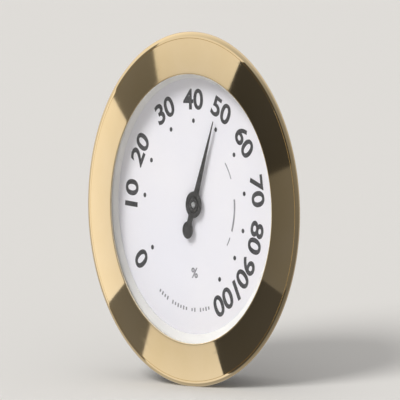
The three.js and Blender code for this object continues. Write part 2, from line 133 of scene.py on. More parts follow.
class HYGRO_PG_bezel(bpy.types.PropertyGroup):
    opening_share: FloatProperty(
        name="Opening Share", description="Diameter of the dial opening as a share of the bezel's",
        default=0.76, min=0.6, max=0.85, subtype="FACTOR",
    )
    face_slope: FloatProperty(
        name="Face Slope", description="How far the sloping face falls back towards its edge",
        default=math.radians(12.5), subtype="ANGLE",
    )
    crown: FloatProperty(
        name="Crown", description="How far the face's slope departs from its mean at either edge",
        default=math.radians(2), subtype="ANGLE",
    )
    edge_width: FloatProperty(
        name="Edge Width",
        description="Width of the rounded edge outside the sloping face, seen from the front",
        default=0.75 * MM,
        unit="LENGTH",
    )
    gold: FloatVectorProperty(
        name="Gold", description="Colour of the polished plating",
        default=(0.94, 0.79, 0.52), subtype="COLOR",
    )
    deep_gold: FloatVectorProperty(
        name="Deep Gold", description="Colour of the plating where it is a little thicker",
        default=(0.90, 0.74, 0.45), subtype="COLOR",
    )


class HYGRO_PG_dial(bpy.types.PropertyGroup):
    figure_height: FloatProperty(
        name="Figure Height", description="Height of a digit of the scale",
        default=2.75 * MM, unit="LENGTH",
    )
    figure_width: FloatProperty(
        name="Figure Width", description="Width of the figures as a share of the typeface's own",
        default=1.16, min=0.6, max=1.6, subtype="FACTOR",
    )
    figure_circle: FloatProperty(
        name="Figure Circle", description="Radius of the circle through the middles of the figures",
        default=13.5 * MM, unit="LENGTH",
    )
    dot_circle: FloatProperty(
        name="Dot Circle", description="Radius of the circle of dots inside the figures",
        default=10.7 * MM, unit="LENGTH",
    )
    print_depth: FloatProperty(
        name="Print Depth", description="How proud of the enamel the printing stands",
        default=0.02 * MM, unit="LENGTH",
    )
    enamel: FloatVectorProperty(
        name="Enamel", description="Colour of the dial", default=(0.90, 0.885, 0.93), subtype="COLOR"
    )
    ink: FloatVectorProperty(
        name="Ink", description="Colour of the figures", default=(0.02, 0.02, 0.024), subtype="COLOR"
    )


class HYGRO_PG_movement(bpy.types.PropertyGroup):
    edge: FloatProperty(
        name="Broken Edge", description="Width of the bevel on the movement's edges",
        default=0.05 * MM, unit="LENGTH",
    )
    brass: FloatVectorProperty(
        name="Brass", description="Colour of the turned and stamped brass",
        default=(0.80, 0.60, 0.28), subtype="COLOR",
    )
    steel: FloatVectorProperty(
        name="Steel", description="Colour of the screws and the arbor",
        default=(0.58, 0.59, 0.61), subtype="COLOR",
    )
    strip: FloatVectorProperty(
        name="Strip", description="Colour of the coil's rolled strip",
        default=(0.70, 0.40, 0.24), subtype="COLOR",
    )
    turns: IntProperty(
        name="Coil Turns", description="Turns of the coil", default=8, min=3, max=12
    )
    strip_thickness: FloatProperty(
        name="Strip Thickness", description="Thickness of the coil's strip",
        default=0.25 * MM, unit="LENGTH",
    )


class HYGRO_PG_case(bpy.types.PropertyGroup):
    plastic: FloatVectorProperty(
        name="Plastic", description="Colour of the moulded case",
        default=(0.026, 0.026, 0.027), subtype="COLOR",
    )
    rubber: FloatVectorProperty(
        name="Rubber", description="Colour of the grip rings",
        default=(0.011, 0.010, 0.010), subtype="COLOR",
    )
    vents: IntProperty(
        name="Vents", description="Number of slots in the back cover", default=12, min=4, max=24
    )
    vent_width: FloatProperty(
        name="Vent Width", description="Width of a slot in the back cover",
        default=1.6 * MM, unit="LENGTH",
    )


class HYGRO_PG_stage(bpy.types.PropertyGroup):
    floor: FloatVectorProperty(
        name="Floor", description="Colour of the floor", default=(0.80, 0.79, 0.77), subtype="COLOR"
    )
    key: FloatProperty(
        name="Key Light", description="Strength of the soft light from the left", default=2.25, min=0
    )
    fill: FloatProperty(
        name="Fill Light", description="Strength of the even light from all round", default=0.52, min=0
    )
    azimuth: FloatProperty(
        name="Azimuth", description="How far to the right of the axis the camera stands",
        default=math.radians(16.4), subtype="ANGLE",
    )
    elevation: FloatProperty(
        name="Elevation", description="How far above the axis the camera stands",
        default=math.radians(7.6), subtype="ANGLE",
    )
    distance: FloatProperty(
        name="Distance", description="From the camera to the gauge", default=1.12, unit="LENGTH"
    )
    lens: FloatProperty(
        name="Lens", description="Focal length in millimetres", default=490, min=50
    )
    squeeze: FloatProperty(
        name="Squeeze", description="Width of the main picture as a share of its natural width",
        default=0.616, min=0.3, max=1, subtype="FACTOR",
    )


class HYGRO_PG_settings(bpy.types.PropertyGroup):
    bezel: PointerProperty(type=HYGRO_PG_bezel)
    dial: PointerProperty(type=HYGRO_PG_dial)
    movement: PointerProperty(type=HYGRO_PG_movement)
    case: PointerProperty(type=HYGRO_PG_case)
    stage: PointerProperty(type=HYGRO_PG_stage)


# ---- Mesh helpers ----


def on_circle(radius, degrees):
    """A point on a circle round the axis, by its angle clockwise from the top."""
    return Vector((radius * math.sin(math.radians(degrees)), radius * math.cos(math.radians(degrees))))


def rounded(corners, steps=4):
    """A closed outline whose corners, given as (x, y, length cut from each side), are rounded."""
    outline = []
    for i, (x, y, cut) in enumerate(corners):
        here = Vector((x, y))
        if cut == 0:
            outline.append(here)
            continue
        before = Vector(corners[i - 1][:2])
        after = Vector(corners[(i + 1) % len(corners)][:2])
        start = here + (before - here).normalized() * cut
        end = here + (after - here).normalized() * cut
        for k in range(steps + 1):
            share = k / steps
            outline.append(start.lerp(here, share).lerp(here.lerp(end, share), share))
    return outline


def smooth(mesh, angle=SMOOTH_ANGLE):
    """Faces point out, round stretches shade smoothly and hard corners stay hard."""
    work = bmesh.new()
    work.from_mesh(mesh)
    bmesh.ops.recalc_face_normals(work, faces=work.faces)
    work.to_mesh(mesh)
    work.free()
    mesh.shade_smooth()
    mesh.set_sharp_from_angle(angle=angle)
    return mesh


def weighted(piece):
    """Flat and conical faces keep their true shading beside the small rounded corners."""
    normals = piece.modifiers.new("Face Weighted", "WEIGHTED_NORMAL")
    normals.weight = 100
    normals.keep_sharp = True
    return piece


def bevelled(piece, width):
    """Breaks the piece's sharp edges."""
    bevel = piece.modifiers.new("Broken Edges", "BEVEL")
    bevel.width = width
    bevel.segments = 2
    bevel.limit_method = "ANGLE"
    bevel.angle_limit = SMOOTH_ANGLE
    bevel.harden_normals = True
    return piece


def turned(name, outline, columns=192):
    """A piece turned about the axis from a closed outline of (radius, y)."""
    vertices = []
    rows = []
    for point in outline:
        if point.x < 1e-7:
            vertices.append((0, point.y, 0))
            rows.append([len(vertices) - 1] * columns)
            continue
        rows.append(range(len(vertices), len(vertices) + columns))
        for column in range(columns):
            angle = 2 * math.pi * column / columns
            vertices.append((point.x * math.sin(angle), point.y, point.x * math.cos(angle)))
    faces = []
    for row, after in zip(rows, rows[1:] + rows[:1]):
        if row[0] == row[1] and after[0] == after[1]:
            continue
        for column in range(columns):
            following = (column + 1) % columns
            corners = [row[column], row[following], after[following], after[column]]
            faces.append(list(dict.fromkeys(corners)))
    mesh = bpy.data.meshes.new(name)
    mesh.from_pydata(vertices, [], faces)
    return weighted(add_object(name, smooth(mesh)))


def plate_mesh(name, outer, holes, front, rear):
    """A flat plate along Y from loops of (x, z), with holes through it."""
    loops = [outer, *holes]
    flat = [point for loop in loops for point in loop]
    count = len(flat)
    vertices = [(p.x, front, p.y) for p in flat] + [(p.x, rear, p.y) for p in flat]
    triangles = tessellate_polygon([[Vector((p.x, p.y, 0)) for p in loop] for loop in loops])
    faces = [list(t) for t in triangles] + [[i + count for i in reversed(t)] for t in triangles]
    first = 0
    for loop in loops:
        size = len(loop)
        for i in range(size):
            a = first + i
            b = first + (i + 1) % size
            faces.append([a, b, b + count, a + count])
        first += size
    mesh = bpy.data.meshes.new(name)
    mesh.from_pydata(vertices, [], faces)
    return smooth(mesh)


def ring_section(inner, outer, low, high, edge):
    """A rectangular section between two corners of a box, with its corners off the axis rounded."""
    inner_edge = edge if inner else 0
    corners = [
        (inner, low.y, inner_edge),
        (outer, low.y, edge),
        (outer, high.y, edge),
        (inner, high.y, inner_edge),
    ]
    return rounded(corners)


def circle(radius, steps, centre=(0, 0)):
    return [Vector(centre) + on_circle(radius, 360 * i / steps) for i in range(steps)]


def slot_loop(inner, outer, half_width, degrees, steps=12):
    """A radial slot with round ends."""
    turn = Matrix.Rotation(-math.radians(degrees), 2)
    loop = []
    for middle, start in ((outer, 0), (inner, math.pi)):
        for i in range(steps + 1):
            angle = start + math.pi * i / steps
            end_point = Vector((half_width * math.cos(angle), middle + half_width * math.sin(angle)))
            loop.append(turn @ end_point)
    return loop


def refined(node, width):
    """The frame's own shape of a small piece, with shared corners, smooth rounds and broken edges."""
    work = bmesh.new()
    work.from_mesh(frame["nodes"][node].data)
    bmesh.ops.remove_doubles(work, verts=work.verts, dist=2e-6)
    bmesh.ops.dissolve_limit(work, angle_limit=math.radians(0.5), verts=work.verts, edges=work.edges)
    work.verts.ensure_lookup_table()
    vertices = [v.co.copy() for v in work.verts]
    faces = [[v.index for v in f.verts] for f in work.faces]
    work.free()
    name = node + "_finished"
    mesh = bpy.data.meshes.new(name)
    mesh.from_pydata(vertices, [], faces)
    return bevelled(add_object(name, smooth(mesh)), width)


def add_object(name, mesh):
    piece = bpy.data.objects.new(name, mesh)
    bpy.context.scene.collection.objects.link(piece)
    return piece


def place(piece, node, material, replaces=True):
    """Gives a piece its material and its body, and hides the node that it stands for."""
    piece.data.materials.clear()
    piece.data.materials.append(material)
    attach(piece, BODY_OF[node])
    if replaces:
        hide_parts(node)
    return piece


def finish(node, width, material):
    """Replaces a small piece by its refined shape."""
    return place(refined(node, width), node, material)


# ---- Node helpers ----


def fill(tree, node, inputs):
    """Gives each input of a node its value or its link."""
    for name, value in inputs.items():
        if isinstance(value, bpy.types.NodeSocket):
            tree.links.new(value, node.inputs[name])
        else:
            node.inputs[name].default_value = value


def put(tree, kind, inputs=None, **settings):
    """Adds a node, sets it and fills its inputs."""
    node = tree.nodes.new("ShaderNode" + kind)
    for name, value in settings.items():
        setattr(node, name, value)
    fill(tree, node, inputs or {})
    return node


def math_node(tree, operation, first, second=0.0, third=0.0):
    return put(tree, "Math", {0: first, 1: second, 2: third}, operation=operation).outputs[0]


def mix_colour(tree, share, first, second):
    return put(tree, "Mix", {0: share, 6: first, 7: second}, data_type="RGBA").outputs[2]


def mix_value(tree, share, first, second):
    return put(tree, "Mix", {0: share, 2: first, 3: second}, data_type="FLOAT").outputs[0]


def solid(colour):
    return (*colour, 1.0)


def effect(name, inputs, outputs, build):
    """A shader node group with named sockets, built the first time that it is asked for."""
    found = bpy.data.node_groups.get(name)
    if found:
        return found
    tree = bpy.data.node_groups.new(name, "ShaderNodeTree")
    for label, kind, value in inputs:
        socket = tree.interface.new_socket(name=label, in_out="INPUT", socket_type="NodeSocket" + kind)
        socket.default_value = value
    for label, kind in outputs:
        tree.interface.new_socket(name=label, in_out="OUTPUT", socket_type="NodeSocket" + kind)
    start = tree.nodes.new("NodeGroupInput")
    end = tree.nodes.new("NodeGroupOutput")
    for label, socket in build(tree, start.outputs).items():
        tree.links.new(socket, end.inputs[label])
    return tree


def use(tree, group, inputs):
    """Places a node group in a material and fills its inputs."""
    node = tree.nodes.new("ShaderNodeGroup")
    node.node_tree = group
    fill(tree, node, inputs)
    return node.outputs


def place_of_surface(tree):
    return put(tree, "TexCoord").outputs["Object"]


def handling_marks():
    """Soft patches that vary a finish's colour and its roughness, with a few fine scratches."""

    def build(tree, given):
        where = place_of_surface(tree)
        patches = put(tree, "TexNoise", {"Vector": where, "Scale": given["Patch Scale"], "Detail": 4.0})
        soft = put(tree, "MapRange", {0: patches.outputs[0], 1: 0.35, 2: 0.65}).outputs[0]
        stretched = put(tree, "Mapping", {"Vector": where, "Rotation": (0.4, 0.7, 0.5), "Scale": (1, 14, 1)})
        fine_scale = math_node(tree, "MULTIPLY", given["Patch Scale"], 6.0)
        fine = put(tree, "TexNoise", {"Vector": stretched.outputs[0], "Scale": fine_scale, "Detail": 2.0})
        scratch = put(tree, "MapRange", {0: fine.outputs[0], 1: 0.62, 2: 0.72}).outputs[0]
        dulled = mix_value(tree, soft, given["Roughness Low"], given["Roughness High"])
        scratched = math_node(tree, "MULTIPLY_ADD", scratch, given["Scratches"], dulled)
        return {
            "Colour": mix_colour(tree, soft, given["Colour A"], given["Colour B"]),
            "Roughness": scratched,
        }

    inputs = [
        ("Colour A", "Color", (1, 1, 1, 1)),
        ("Colour B", "Color", (1, 1, 1, 1)),
        ("Patch Scale", "Float", 200.0),
        ("Roughness Low", "Float", 0.2),
        ("Roughness High", "Float", 0.3),
        ("Scratches", "Float", 0.02),
    ]
    return effect("Handling Marks", inputs, [("Colour", "Color"), ("Roughness", "Float")], build)


def turned_marks():
    """Fine rings round the axis, as a lathe or a buffing wheel leaves them."""

    def build(tree, given):
        parts = put(tree, "SeparateXYZ", {0: place_of_surface(tree)})
        flat = put(tree, "CombineXYZ", {"X": parts.outputs["X"], "Z": parts.outputs["Z"]})
        radius = put(tree, "VectorMath", {0: flat.outputs[0]}, operation="LENGTH").outputs["Value"]
        along = math_node(tree, "ADD", radius, parts.outputs["Y"])
        steps = math_node(tree, "DIVIDE", along, given["Spacing"])
        rings = put(tree, "TexNoise", {"W": steps, "Scale": 1.0, "Detail": 3.0}, noise_dimensions="1D")
        return {"Height": rings.outputs[0]}

    return effect("Turned Marks", [("Spacing", "Float", 0.0001)], [("Height", "Float")], build)


def brushed_marks():
    """Straight fine lines across the gauge, as a rolled or brushed sheet has them."""

    def build(tree, given):
        stretched = put(tree, "Mapping", {"Vector": place_of_surface(tree), "Scale": (0.04, 1, 1)})
        scale = math_node(tree, "DIVIDE", 1.0, given["Spacing"])
        lines = put(tree, "TexNoise", {"Vector": stretched.outputs[0], "Scale": scale, "Detail": 2.0})
        return {"Height": lines.outputs[0]}

    return effect("Brushed Marks", [("Spacing", "Float", 0.0001)], [("Height", "Float")], build)


def moulded_grain():
    """The fine pebbled skin that a sparked mould leaves on plastic."""

    def build(tree, given):
        where = place_of_surface(tree)
        scale = math_node(tree, "DIVIDE", 1.0, given["Grain Size"])
        cells = put(tree, "TexVoronoi", {"Vector": where, "Scale": scale}, feature="SMOOTH_F1")
        fine = put(tree, "TexNoise", {"Vector": where, "Scale": scale, "Detail": 3.0})
        return {"Height": math_node(tree, "ADD", cells.outputs["Distance"], fine.outputs[0])}

    return effect("Moulded Grain", [("Grain Size", "Float", 0.0002)], [("Height", "Float")], build)


def worn_edges():
    """A mask of the outer corners, broken up as rubbing breaks them up. It marks rubbed wear, and on metals
    a painted highlight as well.
    """

    def build(tree, given):
        sharpness = put(tree, "NewGeometry").outputs["Pointiness"]
        corners = put(tree, "MapRange", {0: sharpness, 1: 0.52, 2: 0.62}).outputs[0]
        speckle = put(tree, "TexNoise", {"Vector": place_of_surface(tree), "Scale": 900.0, "Detail": 3.0})
        broken = put(tree, "MapRange", {0: speckle.outputs[0], 1: 0.4, 2: 0.6}).outputs[0]
        rubbed = math_node(tree, "MULTIPLY", corners, broken)
        return {"Mask": math_node(tree, "MULTIPLY", rubbed, given["Amount"])}

    return effect("Worn and Highlit Edges", [("Amount", "Float", 0.5)], [("Mask", "Float")], build)


def settled_dust():
    """A mask of the fine dust that lies on surfaces that face up."""

    def build(tree, given):
        normal = put(tree, "NewGeometry").outputs["Normal"]
        upward = put(tree, "SeparateXYZ", {0: normal}).outputs["Z"]
        facing = put(tree, "MapRange", {0: upward, 1: -0.2, 2: 1.0}).outputs[0]
        specks = put(tree, "TexNoise", {"Vector": place_of_surface(tree), "Scale": 1400.0, "Detail": 6.0})
        thin = put(tree, "MapRange", {0: specks.outputs[0], 1: 0.45, 2: 0.75}).outputs[0]
        lying = math_node(tree, "MULTIPLY", facing, thin)
        return {"Mask": math_node(tree, "MULTIPLY", lying, given["Amount"])}

    return effect("Settled Dust", [("Amount", "Float", 0.2)], [("Mask", "Float")], build)


def new_material(name):
    """An empty material with its node tree and its surface shader, linked to the output."""
    material = bpy.data.materials.new(name)
    material.use_nodes = True
    tree = material.node_tree
    tree.nodes.clear()
    output = put(tree, "OutputMaterial")
    shader = put(tree, "BsdfPrincipled")
    tree.links.new(shader.outputs[0], output.inputs["Surface"])
    return material, tree, shader


def feed(tree, shader, **sockets):
    for name, socket in sockets.items():
        tree.links.new(socket, shader.inputs[name.replace("_", " ")])


def bump(tree, height, depth):
    return put(tree, "Bump", {"Height": height, "Strength": 1.0, "Distance": depth}).outputs[0]


def marked(tree, colour, shade, patch, roughness, scratches):
    """A finish's colour and roughness, varied by handling."""
    inputs = {
        "Colour A": solid(colour),
        "Colour B": solid(shade),
        "Patch Scale": patch,
        "Roughness Low": roughness[0],
        "Roughness High": roughness[1],
        "Scratches": scratches,
    }
    return use(tree, handling_marks(), inputs)


# ---- Materials ----


def metal(
    name, colour, shade, roughness, marks, spacing, depth, wear_and_highlight=0.0, corner_highlight=(1, 1, 1), patch=160.0
):
    """A plated or bare metal: patchy polish, tool marks, and rubbed corners lightened with a painted
    highlight.
    """
    found = bpy.data.materials.get(name)
    if found:
        return found
    material, tree, shader = new_material(name)
    polish = marked(tree, colour, shade, patch, roughness, roughness[1] - roughness[0])
    colour_out = polish["Colour"]
    # The corners are mixed towards a lighter colour: rubbed wear together with a painted highlight.
    if wear_and_highlight:
        edges = use(tree, worn_edges(), {"Amount": wear_and_highlight})
        colour_out = mix_colour(tree, edges["Mask"], colour_out, solid(corner_highlight))
    height = use(tree, marks(), {"Spacing": spacing})["Height"]
    shader.inputs["Metallic"].default_value = 1.0
    normal = bump(tree, height, depth)
    feed(tree, shader, Base_Color=colour_out, Roughness=polish["Roughness"], Normal=normal)
    return material


def polished_gold(settings):
    # Its corners are painted a paler gold: a painted highlight as well as rubbed wear.
    return metal(
        "Polished Gold Plate", settings.gold, settings.deep_gold, (0.03, 0.06), turned_marks, 0.12 * MM,
        0.00012 * MM, wear_and_highlight=0.25, corner_highlight=(1.0, 0.93, 0.72), patch=90.0,
    )


def turned_brass(settings):
    shade = [0.8 * c for c in settings.brass]
    # Its corners go towards white: a painted highlight as well as rubbed wear.
    return metal(
        "Turned Brass", settings.brass, shade, (0.24, 0.36), turned_marks, 0.09 * MM, 0.004 * MM,
        wear_and_highlight=0.5,
    )


def stamped_brass(settings):
    shade = [0.78 * c for c in settings.brass]
    # Its corners go towards white: a painted highlight as well as rubbed wear.
    return metal(
        "Stamped Brass", settings.brass, shade, (0.30, 0.42), brushed_marks, 0.06 * MM, 0.004 * MM,
        wear_and_highlight=0.5,
    )


def satin_steel(settings):
    shade = [0.75 * c for c in settings.steel]
    # Its corners go towards white: a painted highlight as well as rubbed wear.
    return metal(
        "Satin Steel", settings.steel, shade, (0.26, 0.40), brushed_marks, 0.05 * MM, 0.003 * MM,
        wear_and_highlight=0.6,
    )


def coil_strip(settings):
    shade = (0.46, 0.22, 0.12)
    return metal(
        "Rolled Coil Strip", settings.strip, shade, (0.34, 0.52), turned_marks, 0.2 * MM, 0.003 * MM,
    )


def painted(
    name, colour, shade, roughness, grain, depth, patch=220.0, wear_and_highlight=0.0, worn_to=None, dust=0.0
):
    """A painted, moulded or rubber surface: slight colour change, skin texture, rubbed corners and dust."""
    found = bpy.data.materials.get(name)
    if found:
        return found
    material, tree, shader = new_material(name)
    skin = marked(tree, colour, shade, patch, roughness, 0.04)
    colour_out = skin["Colour"]
    if wear_and_highlight:
        edges = use(tree, worn_edges(), {"Amount": wear_and_highlight})
        colour_out = mix_colour(tree, edges["Mask"], colour_out, solid(worn_to))
    if dust:
        lying = use(tree, settled_dust(), {"Amount": dust})
        colour_out = mix_colour(tree, lying["Mask"], colour_out, solid(DUST_COLOUR))
    height = use(tree, moulded_grain(), {"Grain Size": grain})["Height"]
    normal = bump(tree, height, depth)
    feed(tree, shader, Base_Color=colour_out, Roughness=skin["Roughness"], Normal=normal)
    return material


def dial_enamel(settings):
    shade = (0.87, 0.86, 0.92)
    grain, depth = 0.25 * MM, 0.0015 * MM
    return painted("Dial Enamel", settings.enamel, shade, (0.38, 0.48), grain, depth, patch=70.0)


def printing_ink(settings):
    shade = (0.05, 0.05, 0.055)
    grain, depth = 0.06 * MM, 0.002 * MM
    return painted("Printing Ink", settings.ink, shade, (0.45, 0.6), grain, depth, patch=900.0)


def faded_ink():
    return painted(
        "Grey Printing Ink", (0.20, 0.20, 0.22), (0.34, 0.33, 0.36), (0.5, 0.6), 0.06 * MM, 0.002 * MM,
        patch=900.0,
    )


def hand_enamel():
    return painted(
        "Hand Enamel", (0.012, 0.012, 0.013), (0.02, 0.02, 0.021), (0.22, 0.32), 0.1 * MM, 0.001 * MM,
        wear_and_highlight=0.5, worn_to=(0.10, 0.10, 0.10),
    )


def spacer_plastic():
    colour, shade = (0.86, 0.85, 0.83), (0.80, 0.79, 0.77)
    return painted("White Spacer Plastic", colour, shade, (0.42, 0.55), 0.12 * MM, 0.002 * MM)


def gasket_plastic():
    colour, shade = (0.66, 0.65, 0.62), (0.58, 0.57, 0.54)
    return painted("Pale Gasket", colour, shade, (0.55, 0.68), 0.1 * MM, 0.003 * MM)


def case_plastic(settings, name="Moulded Black Plastic", wear_and_highlight=0.5):
    shade = [1.16 * c for c in settings.plastic]
    return painted(
        name, settings.plastic, shade, (0.40, 0.46), 0.16 * MM, 0.012 * MM,
        wear_and_highlight=wear_and_highlight, worn_to=(0.10, 0.10, 0.10), dust=0.02,
    )


def grip_rubber(settings):
    shade = [1.25 * c for c in settings.rubber]
    return painted(
        "Grip Ring Rubber", settings.rubber, shade, (0.66, 0.76), 0.1 * MM, 0.006 * MM, patch=420.0,
        wear_and_highlight=0.3, worn_to=(0.06, 0.06, 0.06), dust=0.05,
    )


def clear_crystal():
    """Clear acrylic that lets the light of lamps straight through to the dial."""
    material, tree, shader = new_material("Clear Crystal")
    marks = marked(tree, (1, 1, 1), (0.985, 0.99, 1), 60.0, (0.0, 0.012), 0.02)
    shader.inputs["Transmission Weight"].default_value = 1.0
    shader.inputs["IOR"].default_value = 1.49
    feed(tree, shader, Base_Color=marks["Colour"], Roughness=marks["Roughness"])
    rays = put(tree, "LightPath")
    through = math_node(tree, "MAXIMUM", rays.outputs["Is Shadow Ray"], rays.outputs["Is Diffuse Ray"])
    clear = put(tree, "BsdfTransparent", {"Color": (0.96, 0.965, 0.97, 1)})
    mixed = put(tree, "MixShader", {0: through, 1: shader.outputs[0], 2: clear.outputs[0]})
    output = next(n for n in tree.nodes if n.type == "OUTPUT_MATERIAL")
    tree.links.new(mixed.outputs[0], output.inputs["Surface"])
    return material


def pale_floor(settings):
    material, tree, shader = new_material("Pale Floor")
    where = place_of_surface(tree)
    patches = put(tree, "TexNoise", {"Vector": where, "Scale": 3.0, "Detail": 3.0})
    near = [0.985 * c for c in settings.floor]
    colour = mix_colour(tree, patches.outputs[0], solid(settings.floor), solid(near))
    shader.inputs["Roughness"].default_value = 0.7
    shader.inputs["Specular IOR Level"].default_value = 0.2
    feed(tree, shader, Base_Color=colour)
    return material


# ---- The bezel, the crystal and its gasket ----


def bezel_outline(settings):
    """The bezel's section: crowned sloping face, fine groove, rounded edge and the pockets behind."""
    outer = BEZEL_HIGH.x
    opening = outer * settings.opening_share
    front = BEZEL_LOW.y
    face_end = outer - settings.edge_width
    width = face_end - opening
    recess = CASE_HIGH.x + POCKET_GAP
    pocket = LENS_HIGH.x + POCKET_GAP
    web_rear = LENS_LOW.y - STACK_GAP
    corners = [(opening, web_rear, 0), (opening, front, 0.12 * MM)]
    steps = 12
    for i in range(1, steps + 1):
        share = i / steps
        slope = settings.face_slope - settings.crown * (1 - share)
        corners.append((opening + width * share, front + width * share * math.tan(slope), 0))
    face_end_y = corners[-1][1]
    groove = 0.06 * MM
    edge_start = Vector((face_end + groove, face_end_y + 0.3 * groove))
    edge_shoulder = Vector((outer - 0.12 * MM, face_end_y + 0.2 * MM))
    edge_end = Vector((outer, face_end_y + 0.6 * MM))
    corners.append((face_end + groove / 2, face_end_y + groove, 0))
    for i in range(7):
        share = i / 6
        point = edge_start.lerp(edge_shoulder, share).lerp(edge_shoulder.lerp(edge_end, share), share)
        corners.append((point.x, point.y, 0))
    corners += [
        (outer, BEZEL_HIGH.y, 0.15 * MM),
        (recess, BEZEL_HIGH.y, 0.08 * MM),
        (recess, LENS_HIGH.y, 0),
        (pocket, LENS_HIGH.y, 0.05 * MM),
        (pocket, web_rear, 0),
    ]
    return rounded(corners, steps=5)


class HYGRO_OT_bezel(bpy.types.Operator):
    """Turns the polished bezel"""

    bl_idname = "hygro.bezel"
    bl_label = "Bezel"

    def execute(self, context):
        settings = context.scene.hygrometer.bezel
        piece = turned("polished_bezel", bezel_outline(settings), columns=288)
        place(piece, "bezel", polished_gold(settings))
        return {"FINISHED"}


class HYGRO_OT_crystal(bpy.types.Operator):
    """Makes the clear crystal and the gasket behind it"""

    bl_idname = "hygro.crystal"
    bl_label = "Crystal"

    def execute(self, context):
        disc = ring_section(0, LENS_HIGH.x, LENS_LOW, LENS_HIGH, 0.15 * MM)
        place(turned("clear_crystal", disc), "lens", clear_crystal())
        inner = context.scene.hygrometer.bezel.opening_share * BEZEL_HIGH.x + 0.15 * MM
        ring = ring_section(inner, GASKET_HIGH.x, GASKET_LOW, GASKET_HIGH, 0.08 * MM)
        place(turned("crystal_gasket", ring), "lens_gasket", gasket_plastic())
        return {"FINISHED"}


# ---- The dial, its printing and the white ring round it ----


def print_prism(work, loop, front, rear):
    """Adds a thin printed shape, from a loop of (x, z), to a mesh."""
    first = [work.verts.new((p.x, front, p.y)) for p in loop]
    second = [work.verts.new((p.x, rear, p.y)) for p in loop]
    work.faces.new(first)
    work.faces.new(list(reversed(second)))
    for i in range(len(loop)):
        after = (i + 1) % len(loop)
        work.faces.new([first[i], second[i], second[after], first[after]])


def printed(name, work):
    """The finished printing as one piece."""
    mesh = bpy.data.meshes.new(name)
    work.to_mesh(mesh)
    work.free()
    return add_object(name, smooth(mesh))


def print_figure(work, text, degrees, radius, height, settings, front):
    """Adds one number or sign, standing on the dial with its foot towards the centre."""
    curve = bpy.data.curves.new("figure", "FONT")
    curve.body = text
    curve.size = height / CAP_HEIGHT
    curve.offset = 0.035 * height
    curve.extrude = settings.print_depth / 2
    letter = bpy.data.objects.new("figure", curve)
    bpy.context.scene.collection.objects.link(letter)
    graph = bpy.context.evaluated_depsgraph_get()
    mesh = bpy.data.meshes.new_from_object(letter.evaluated_get(graph))
    bpy.data.objects.remove(letter)
    across = [v.co.x for v in mesh.vertices]
    up = [v.co.y for v in mesh.vertices]
    centre = Vector(((min(across) + max(across)) / 2, (min(up) + max(up)) / 2, 0))
    tall = height / (max(up) - min(up))
    to_dial = Matrix.Rotation(math.radians(degrees), 4, "Y")
    to_circle = Matrix.Translation((0, front, radius))
    upright = Matrix.Rotation(math.radians(90), 4, "X")
    fit = Matrix.Diagonal((settings.figure_width * tall, tall, 1, 1))
    mesh.transform(to_dial @ to_circle @ upright @ fit @ Matrix.Translation(-centre))
    work.from_mesh(mesh)
    bpy.data.meshes.remove(mesh)


def dial_figures(settings, front):
    """The scale's numbers and the dot inside each of them."""
    work = bmesh.new()
    for reading, degrees in SCALE.items():
        height = settings.figure_height
        print_figure(work, str(reading), degrees, settings.figure_circle, height, settings, front)
        dot = circle(DOT_RADIUS, 20, centre=on_circle(settings.dot_circle, degrees))
        print_prism(work, dot, front - settings.print_depth / 2, front + settings.print_depth / 2)
    return printed("dial_figures", work)


def arc_loop(inner, outer, start, end, steps=24):
    """A band between two radii and two angles."""
    there = [on_circle(outer, start + (end - start) * i / steps) for i in range(steps + 1)]
    back = [on_circle(inner, end + (start - end) * i / steps) for i in range(steps + 1)]
    return there + back


def dial_fine_marks(settings, front):
    """Faint printing: arcs beside the scale, a per cent sign and a row of small plain marks at the foot."""
    work = bmesh.new()
    print_figure(work, "%", 0, -PER_CENT_DROP, PER_CENT_HEIGHT, settings, front)
    rear = front + settings.print_depth / 2
    front -= settings.print_depth / 2
    for start, end, half_width in ((50, 66, 0.09 * MM), (84, 112, 0.16 * MM), (118, 126, 0.09 * MM)):
        arc = arc_loop(ARC_RADIUS - half_width, ARC_RADIUS + half_width, start, end)
        print_prism(work, arc, front, rear)
    marks, blanks = 19, (4, 7, 14)
    first_mark, mark_step = 167, 2.55
    wide = 0.26 * MM
    for i in range(marks):
        if i in blanks:
            continue
        degrees = first_mark + mark_step * i
        tall = (0.50 if i % 2 else 0.38) * MM
        along = on_circle(wide / 2, degrees + 90)
        out = on_circle(tall / 2, degrees)
        middle = on_circle(FOOT_ROW_RADIUS, degrees)
        bar = [middle + along + out, middle + along - out, middle - along - out, middle - along + out]
        print_prism(work, bar, front, rear)
    return printed("dial_fine_marks", work)


class HYGRO_OT_dial(bpy.types.Operator):
    """Makes the white ring, the dial and its printing"""

    bl_idname = "hygro.dial"
    bl_label = "Dial"

    def execute(self, context):
        settings = context.scene.hygrometer.dial
        radius = DIAL_HIGH.x
        opening = context.scene.hygrometer.bezel.opening_share * BEZEL_HIGH.x
        foot = SPACER_HIGH.y - 0.2 * MM
        corners = [
            (opening + 0.1 * MM, SPACER_LOW.y, 0.08 * MM),
            (radius, SPACER_LOW.y, 0.08 * MM),
            (radius, SPACER_HIGH.y, 0.08 * MM),
            (SPACER_REAR_RADIUS, SPACER_HIGH.y, 0),
            (SPACER_REAR_RADIUS, foot, 0.06 * MM),
        ]
        place(turned("white_spacer", rounded(corners), columns=240), "spacer_ring", spacer_plastic())
        disc = ring_section(DIAL_HOLE_RADIUS, radius, DIAL_LOW, DIAL_HIGH, 0.05 * MM)
        place(turned("enamel_dial", disc, columns=240), "dial_plate", dial_enamel(settings))
        front = DIAL_LOW.y - settings.print_depth / 4
        place(dial_figures(settings, front), "dial_plate", printing_ink(settings), replaces=False)
        place(dial_fine_marks(settings, front), "dial_plate", faded_ink(), replaces=False)
        return {"FINISHED"}


# ---- The hand and what turns with it ----


